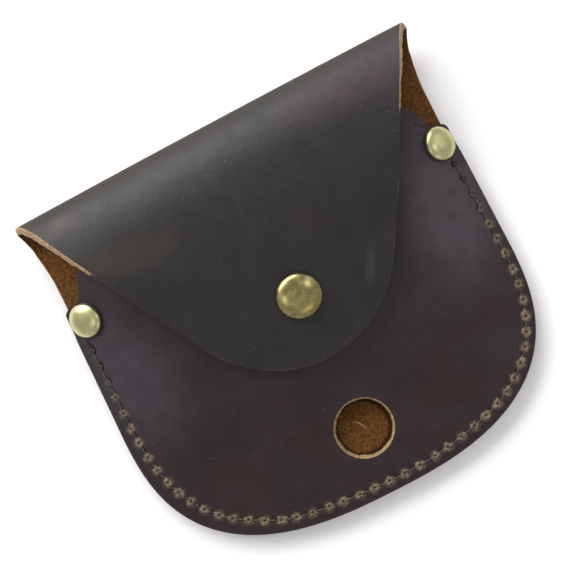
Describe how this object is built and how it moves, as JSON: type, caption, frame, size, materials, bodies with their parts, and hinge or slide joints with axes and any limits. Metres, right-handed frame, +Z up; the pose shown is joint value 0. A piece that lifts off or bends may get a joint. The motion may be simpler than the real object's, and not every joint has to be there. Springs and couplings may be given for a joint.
{
  "type": "leather compass pouch",
  "caption": "Small leather pouch with a front that rises to the mouth, a round push-out hole and a snap-down flap, for carrying a pocket compass on a belt or in a bag.",
  "frame": {"origin": "the middle of the bounding box, on the surface that the pouch lies on", "axes": "+X to the pouch's right as its flap is seen, +Y from the rounded bottom to the fold of the flap, +Z up out of the front"},
  "size_m": [0.1176, 0.1112, 0.0217],
  "materials": {
    "leather": "oiled, satin, dark brown, with a brown suede flesh side and raw tan edges",
    "bright_brass": "polished",
    "antique_brass": "satin, slightly tarnished",
    "stitching": "waxed brown thread"
  },
  "bodies": {
    "root": {"back_and_flap": "leather", "front_panel": "leather", "rivet_left": "bright_brass", "rivet_right": "bright_brass", "snap_cap": "antique_brass", "snap_socket": "antique_brass", "snap_stud": "antique_brass", "snap_post": "antique_brass"}
  },
  "joints": []
}
